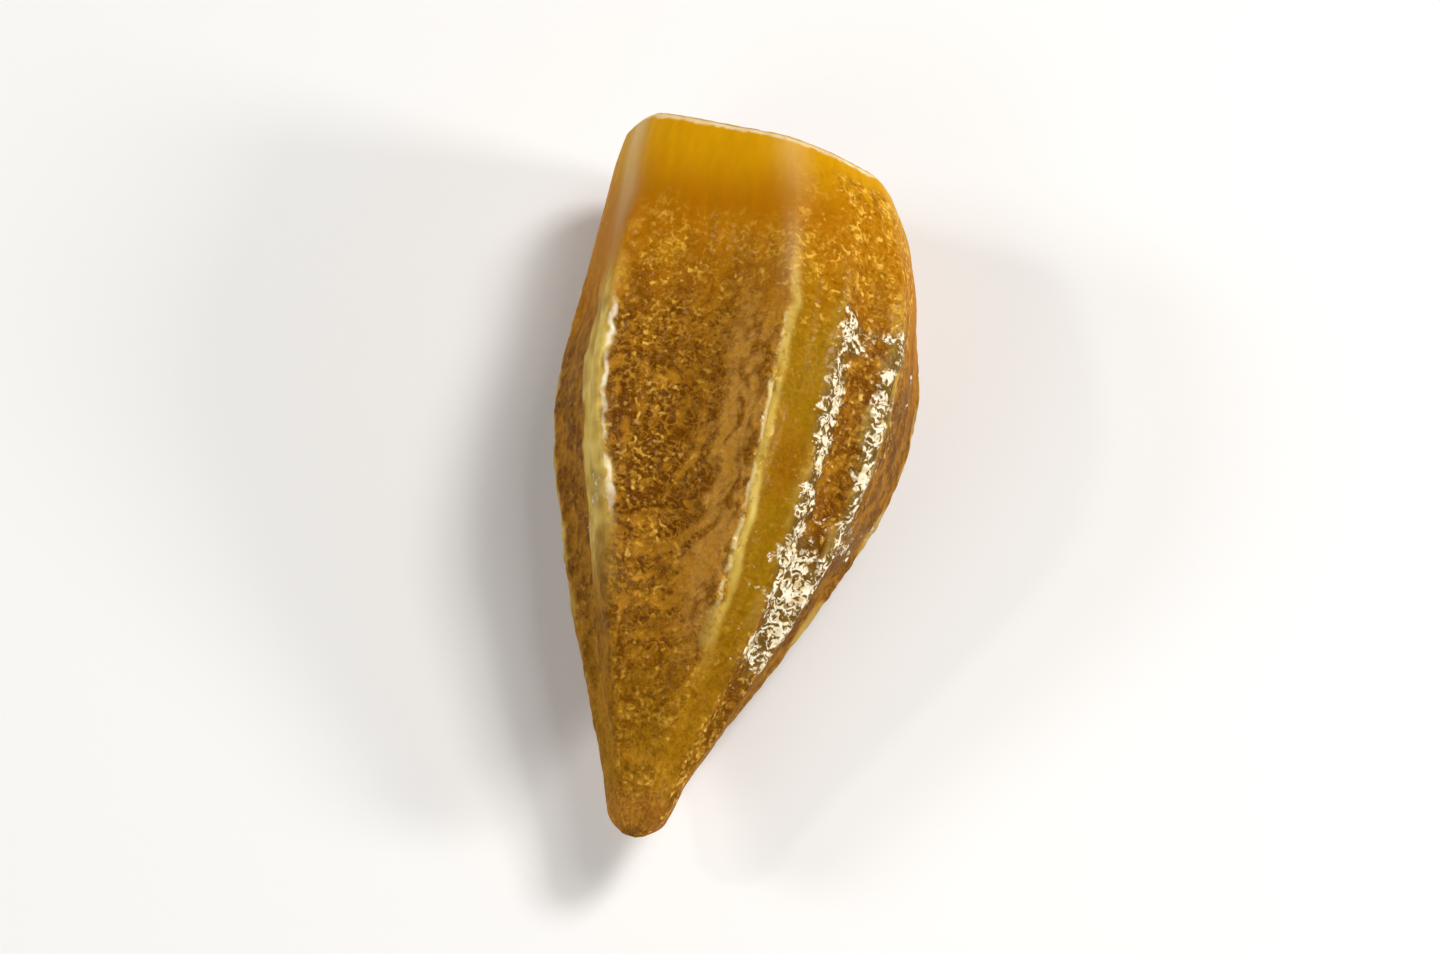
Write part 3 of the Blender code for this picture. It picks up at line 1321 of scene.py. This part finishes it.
    # The skin is the last paint, and the ones before it are for its ribs, cap and so on
    paints: tuple[Paint, ...] = (
        Paint("rib", Tone.PALE_RIB, (Coat(Tone.GREEN_RIB, 0.7, ("patches",)),)),
        Paint(
            "cap",
            Tone.AMBER_CAP,
            (
                Coat(Tone.DEEP_CAP, 1.0, ("deep",)),
                Coat(Tone.RIGHT_CAP, 0.6, ("patches", "fleck")),
                Coat(Tone.DEEP_CAP, 0.8, ("streaks", "streaked")),
            ),
        ),
        # The colour of the glints painted on the thick juice
        Paint("juice", Tone.GLINT_CREAM, (Coat(Tone.GLINT_WHITE, 1.0, ("clouded",)),)),
        Paint("rim", Tone.CREAM_RIM, (Coat(Tone.ORANGE_RIM, 0.4, ("patches",)),)),
        Paint(
            "cut",
            Tone.PITH,
            (
                Coat(Tone.DEEP_CAP, 0.6, ("fibrous",)),
                Coat(Tone.CREAM_RIM, 0.5, ("vein", "fibrous")),
                Coat(Tone.TAN_FILM, 0.6, ("core",)),
            ),
        ),
        Paint(
            "skin",
            Tone.OLIVE_FACE,
            (
                Coat(Tone.BROWN_FACE, 1.0, ("brown",)),
                # Shade painted on the flanks, the lower edges and the crease, with darker tone on the
                # left, the right side and in patches
                Coat(Tone.DARK_BROWN, 0.72, ("shade",)),
                Coat(Tone.ORANGE_STAIN, 0.8, ("stain",)),
                Coat(Tone.AMBER_TIP, 0.85, ("tip",)),
                Coat(Tone.PINK_TIP, 0.5, ("beak",)),
                Coat(Tone.TAN_FILM, 0.9, ("film", "raised")),
                # Shade painted in the hollows of the relief, then dark grain and threads
                Coat(Tone.PIT, 0.55, ("shaded_hollows", "uncovered", "rough")),
                Coat(Tone.PIT, 0.8, ("dark", "uncovered", "rough")),
                Coat(Tone.PIT, 0.85, ("dark_threads", "uncovered", "rough")),
                Coat(Tone.GOLD_CREASE, 0.7, ("ridges", "rough")),
                Coat(Tone.GOLD_CREASE, 0.75, ("gold_hairs", "rough", "mottled")),
                Coat("rib", 0.9, ("rib",)),
                Coat("cap", 1.0, ("cap",)),
                # Glints of oil painted in gold as flecks and specks, with darker nicks and dots among them
                Coat(Tone.GOLD_GLINT_SPECK, 0.5, ("specks", "clusters", "fleck")),
                Coat(Tone.GOLD_GLINT, 0.85, ("scraps", "scattered", "fleck", "cap")),
                Coat(Tone.BROWN_FACE, 0.5, ("nicks", "fleck", "cap")),
                Coat(Tone.PIT, 0.4, ("dots", "fleck")),
                Coat(Tone.GOLD_GLINT, 0.8, ("flecks",)),
                # Painted shade under the thick juice, between its painted glints
                Coat(Tone.SHADED_JUICE, 0.85, ("shade_under_glints",)),
                # Glints painted on the thick juice
                Coat("juice", 0.96, ("beads",)),
                Coat(Tone.CREAM_RIM, 0.5, ("edge",)),
                # The left line's painted highlight, and the right line's pale seam painted bright as a
                # highlight
                Coat(Tone.GLINT_WHITE, 0.75, ("glint_line_left",)),
                Coat(Tone.PALE_SEAM, 1.0, ("seam_and_glint_right",)),
                Coat("rim", 0.95, ("rim",)),
                Coat("cut", 1.0, ("cut",)),
            ),
        ),
    )
    # How much the glints painted on the juice and oil, and the bright lines, add to the real wet shine
    # where they lie
    shine: tuple[tuple[str, float], ...] = (("beads", 0.9), ("flecks", 0.4), ("lit", 0.5))

    def _sources(self, tree: bpy.types.NodeTree) -> dict[str, bpy.types.NodeSocket]:
        """Reads the marks, and draws the noises and the distances that masks come from.

        Args:
            tree: The material's node tree.

        Returns:
            Each one's socket by its name.
        """
        place = add_node(tree, "TexCoord").outputs["Object"]
        found: dict[str, Any] = {}
        for mark in fields(SkinMarks):
            found[mark.name] = add_node(tree, "Attribute", attribute_name=mark.name).outputs["Fac"]
        for noise in self.noises:
            squeezed = {0: place, 1: (1.0, noise.squeeze, 1.0)}
            where = add_node(tree, "VectorMath", squeezed, operation="MULTIPLY").outputs[0]
            inputs = {"Vector": where, "Scale": 1.0 / (noise.size * MM), "Detail": noise.detail}
            inputs.update({"Roughness": self.noise_roughness, "Distortion": noise.twist})
            found[noise.name] = add_node(tree, "TexNoise", inputs).outputs["Fac"]
        for thread in self.threads:
            centred = {0: found[thread.noise], 1: 0.5}
            bend = add_node(tree, "Math", centred, operation="SUBTRACT").outputs[0]
            past = {0: bend, 1: thread.wobble, 2: found[thread.mark] if thread.mark else 0.0}
            bent = add_node(tree, "Math", past, operation="MULTIPLY_ADD").outputs[0]
            found[thread.name] = add_node(tree, "Math", {0: bent}, operation="ABSOLUTE").outputs[0]
        below = {0: found["rim_wave"], 1: self.rim_wobble, 2: found["brink"]}
        found["below_rim"] = add_node(tree, "Math", below, operation="MULTIPLY_ADD").outputs[0]
        return found

    def _times(self, tree: bpy.types.NodeTree, *factors: Any) -> bpy.types.NodeSocket:
        """Multiplies sockets and numbers.

        Args:
            tree: The material's node tree.
            *factors: The sockets and numbers.

        Returns:
            Their product, kept between 0 and 1.
        """
        product = factors[0]
        for factor in factors[1:]:
            pair = {0: product, 1: factor}
            product = add_node(tree, "Math", pair, operation="MULTIPLY", use_clamp=True).outputs[0]
        return product

    def _masks(self, tree: bpy.types.NodeTree) -> dict[str, bpy.types.NodeSocket]:
        """Works out every mask.

        Args:
            tree: The material's node tree.

        Returns:
            The sockets of the masks, marks and noises by their names.
        """
        found = self._sources(tree)
        for band in self.bands:
            inputs = {"Value": found[band.source], "From Min": band.zero, "From Max": band.one}
            found[band.name] = add_node(tree, "MapRange", inputs, clamp=True).outputs["Result"]
        # Juice stands, with glints painted on it, where the glaze and its ragged edge come to more than 1
        # together
        both = {0: found["juice_edge"], 1: found["glaze"]}
        depth = add_node(tree, "Math", both, operation="ADD").outputs[0]
        inputs = {"Value": depth, "From Min": 1.0, "From Max": 1.0 + self.bead_slope}
        found["juice"] = add_node(tree, "MapRange", inputs, clamp=True).outputs["Result"]
        for product in self.products:
            found[product.name] = self._times(tree, *(found[factor] for factor in product.factors))
        lines = {0: found["glint_line_left"], 1: found["seam_and_glint_right"]}
        found["lit"] = add_node(tree, "Math", lines, operation="MAXIMUM").outputs[0]
        return found

    def _colour(self, tree: bpy.types.NodeTree, found: dict[str, Any]) -> bpy.types.NodeSocket:
        """Mixes the paints, each from its lowest coat up.

        Args:
            tree: The material's node tree.
            found: The sockets of the masks by their names.

        Returns:
            The last paint's colour, which is the whole skin's.
        """
        mixed: dict[str, Any] = {}
        for paint in self.paints:
            colour = linear(paint.base.value)
            for coat in paint.coats:
                named = isinstance(coat.colour, str)
                over = mixed[coat.colour] if named else linear(coat.colour.value)
                share = self._times(tree, *(found[mask] for mask in coat.masks), coat.reach)
                inputs = {0: share, 6: colour, 7: over}
                colour = add_node(tree, "Mix", inputs, data_type="RGBA").outputs[2]
            mixed[paint.name] = colour
        return colour

    def build(self) -> bpy.types.Material:
        """Makes the material.

        Returns:
            The material.
        """
        material, shader = new_material(self.name)
        tree = material.node_tree
        found = self._masks(tree)
        shiny = found["wet"]
        for mask, share in self.shine:
            both = {0: shiny, 1: self._times(tree, found[mask], share)}
            shiny = add_node(tree, "Math", both, operation="ADD", use_clamp=True).outputs[0]
        raised = found["drops"]
        for mask in ("lit", "beads"):
            raised = add_node(tree, "Math", {0: raised, 1: found[mask]}, operation="ADD").outputs[0]
        low, high = self.flesh_share
        flesh = add_node(tree, "MapRange", {"Value": found["cap"], "To Min": low, "To Max": high})
        linked = {
            "Base Color": self._colour(tree, found),
            "Subsurface Weight": flesh.outputs["Result"],
            "Coat Weight": shiny,
        }
        bumps = {
            "Normal": (found["fine"], found["rough"], self.grain_height),
            "Coat Normal": (raised, found["drop_strength"], self.drop_height),
        }
        for name, (height, strength, millimetres) in bumps.items():
            inputs = {"Height": height, "Strength": strength, "Distance": millimetres * MM}
            linked[name] = add_node(tree, "Bump", inputs).outputs["Normal"]
        shader.inputs["IOR"].default_value = self.ior
        shader.inputs["Roughness"].default_value = self.roughness
        shader.inputs["Specular IOR Level"].default_value = self.skin_shine
        shader.inputs["Subsurface Radius"].default_value = self.flesh_depth
        shader.inputs["Subsurface Scale"].default_value = MM
        shader.inputs["Coat IOR"].default_value = self.juice_ior
        shader.inputs["Coat Roughness"].default_value = self.juice_roughness
        for name, socket in linked.items():
            tree.links.new(socket, shader.inputs[name])
        return material


@dataclass
class OkraPod:
    """The whole pod: one closed mesh in place of the solid of the same name."""

    form: PodForm = PodForm()
    pattern: SkinPattern = SkinPattern()
    relief: SkinRelief = SkinRelief()
    finish: CookedSkin = CookedSkin()

    def _normals(self, points: np.ndarray) -> np.ndarray:
        """Works out which way the grid's skin faces.

        Args:
            points: The grid's points.

        Returns:
            A unit vector for each point.
        """
        round_pod = np.roll(points, -1, axis=1) - np.roll(points, 1, axis=1)
        along_pod = np.gradient(points, axis=0)
        normal = np.cross(along_pod, round_pod)
        return normal / np.maximum(np.linalg.norm(normal, axis=-1, keepdims=True), 1e-9)

    def _mesh(self, points: np.ndarray) -> bpy.types.Mesh:
        """Joins the grid's points into a closed mesh, with a point at each end.

        Args:
            points: Rows of points in millimetres.

        Returns:
            The mesh in metres.
        """
        rows, columns = points.shape[:2]
        ends = np.array([points[0].mean(axis=0), points[-1].mean(axis=0)])
        places = np.concatenate([points.reshape(-1, 3), ends]) * MM
        row, column = np.meshgrid(np.arange(rows - 1), np.arange(columns), indexing="ij")
        after = (column + 1) % columns
        quads = np.stack(
            [
                row * columns + column,
                (row + 1) * columns + column,
                (row + 1) * columns + after,
                row * columns + after,
            ],
            axis=-1,
        ).reshape(-1, 4)
        ring = np.arange(columns)
        following = (ring + 1) % columns
        last = (rows - 1) * columns
        cut_fan = np.stack([ring, following, np.full(columns, rows * columns)], axis=-1)
        tip_fan = np.stack([last + following, last + ring, np.full(columns, rows * columns + 1)], axis=-1)
        mesh = bpy.data.meshes.new("pod_skin")
        faces = quads.tolist() + cut_fan.tolist() + tip_fan.tolist()
        mesh.from_pydata(places.tolist(), [], faces)
        mesh.shade_smooth()
        return mesh

    def build(self) -> bpy.types.Object:
        """Makes the pod's mesh and its marks, and dresses it.

        Returns:
            The pod.
        """
        grid = SkinGrid(self.form)
        points = self.form.points(grid)
        drop = points[..., 2].min() + self.form.settle
        marks = SkinSurvey(self.form).marks(grid, points, self.pattern.lift(grid, points))
        heights = self.relief.heights(self.form, grid, points, marks)
        smooth_floor = points[..., 2] - drop
        skin = points + self._normals(points) * heights[..., None]
        flat = points[..., :2].reshape(-1, 2)
        skin[..., :2] -= (flat.min(axis=0) + flat.max(axis=0)) / 2
        skin[..., 2] -= drop
        skin[..., 2] = np.where(smooth_floor <= 0.0, 0.0, np.maximum(skin[..., 2], 0.0))
        mesh = self._mesh(skin)
        self._store(mesh, marks)
        mesh.materials.append(self.finish.build())
        pod = bpy.data.objects.new("okra_skin", mesh)
        bpy.context.scene.collection.objects.link(pod)
        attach(pod, "root")
        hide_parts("pod")
        LOG.info("pod: %d points, %d faces", len(mesh.vertices), len(mesh.polygons))
        return pod

    def _store(self, mesh: bpy.types.Mesh, marks: SkinMarks) -> None:
        """Keeps the marks on the mesh for the shader to read.

        Args:
            mesh: The pod's mesh.
            marks: The marks over its grid.
        """
        for name, values in vars(marks).items():
            layer = mesh.attributes.new(name, "FLOAT", "POINT")
            ends = [values[0].mean(), values[-1].mean()]
            layer.data.foreach_set("value", np.append(values.ravel(), ends).astype(np.float32))


# The studio


@dataclass(frozen=True)
class SatinBoard:
    """White laminated board with a fine satin face, which gives soft pale reflections."""

    name: str = "satin_white_board"
    roughness: float = 0.55

    def build(self) -> bpy.types.Material:
        """Makes the material.

        Returns:
            The material.
        """
        material, shader = new_material(self.name)
        shader.inputs["Base Color"].default_value = linear(Tone.FLOOR.value)
        shader.inputs["Roughness"].default_value = self.roughness
        return material


@dataclass(frozen=True)
class Lamp:
    """A square softbox that looks at the pod."""

    name: str
    azimuth: float
    elevation: float
    distance: float
    width: float
    power: float
    tint: str = "#FFFFFF"

    def build(self, target: Vector) -> bpy.types.Object:
        """Makes the light.

        Args:
            target: The point that it faces.

        Returns:
            The light.
        """
        light = bpy.data.lights.new(self.name, "AREA")
        light.shape = "SQUARE"
        light.size = self.width
        light.energy = self.power
        light.color = linear(self.tint)[:3]
        lamp = bpy.data.objects.new(self.name, light)
        turn, lift = math.radians(self.azimuth), math.radians(self.elevation)
        away = Vector((math.cos(lift) * math.cos(turn), math.cos(lift) * math.sin(turn), math.sin(lift)))
        lamp.location = target + away * self.distance
        lamp.rotation_euler = away.to_track_quat("Z", "Y").to_euler()
        bpy.context.scene.collection.objects.link(lamp)
        return lamp


@dataclass
class Studio:
    """The floor, the lights and the camera."""

    floor_radius: float = 2.5
    floor_sides: int = 96
    # The camera's direction from the pod, from the photo's view of how the pod lies
    view_azimuth: float = 9.7
    view_elevation: float = 67.0
    lens: float = 150.0
    distance: float = 0.315
    lamps: tuple[Lamp, ...] = (
        Lamp("key_back_right", 38.0, 55.0, 0.50, 0.12, 1.2),
        Lamp("low_right", -3.0, 25.0, 0.50, 0.11, 1.1),
        Lamp("softbox_back", 25.0, 68.0, 0.60, 0.20, 0.7),
        Lamp("fill_left", 235.0, 40.0, 0.70, 0.30, 0.6),
        Lamp("side_left", 185.0, 32.0, 0.60, 0.14, 0.9),
        Lamp("fleck_spot", 185.0, 48.0, 0.50, 0.04, 0.22),
    )

    def _floor(self) -> bpy.types.Object:
        """Lays the round floor.

        Returns:
            The floor.
        """
        turn = np.linspace(0.0, 2 * math.pi, self.floor_sides, endpoint=False)
        edge = [(self.floor_radius * math.cos(t), self.floor_radius * math.sin(t), 0.0) for t in turn]
        mesh = bpy.data.meshes.new("floor")
        mesh.from_pydata(edge, [], [list(range(self.floor_sides))])
        mesh.materials.append(SatinBoard().build())
        floor = bpy.data.objects.new("floor", mesh)
        bpy.context.scene.collection.objects.link(floor)
        return floor

    def _camera(self, target: Vector) -> None:
        """Places the camera where the photo was taken from.

        Args:
            target: The point in the middle of the picture.
        """
        data = bpy.data.cameras.new("camera")
        data.lens = self.lens
        data.clip_start = 0.01
        camera = bpy.data.objects.new("camera", data)
        turn, lift = math.radians(self.view_azimuth), math.radians(self.view_elevation)
        away = Vector((math.sin(turn) * math.cos(lift), -math.cos(turn) * math.cos(lift), math.sin(lift)))
        camera.location = target + away * self.distance
        camera.rotation_euler = away.to_track_quat("Z", "Y").to_euler()
        bpy.context.scene.collection.objects.link(camera)
        bpy.context.scene.camera = camera

    def _sky(self) -> None:
        """Fills the room with even white light."""
        world = bpy.data.worlds.new("studio_air")
        world.use_nodes = True
        air = world.node_tree.nodes["Background"]
        air.inputs["Color"].default_value = linear("#FBFAF8")
        air.inputs["Strength"].default_value = 0.1
        bpy.context.scene.world = world

    def build(self, box: Sequence[Sequence[float]]) -> None:
        """Makes the studio round the pod.

        Args:
            box: The pod's lowest and highest corners.
        """
        low, high = Vector(box[0]), Vector(box[1])
        target = (low + high) / 2
        self._floor()
        for lamp in self.lamps:
            lamp.build(target)
            LOG.info("light: %s", lamp.name)
        self._sky()
        self._camera(target)
        view = bpy.context.scene.view_settings
        view.view_transform = "Standard"
        view.look = "None"


def main() -> None:
    """Builds the pod and the studio."""
    logging.basicConfig(level=logging.INFO, format="%(message)s")
    OkraPod().build()
    Studio().build([list(corner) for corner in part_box("pod")])


if __name__ == "__main__":
    main()
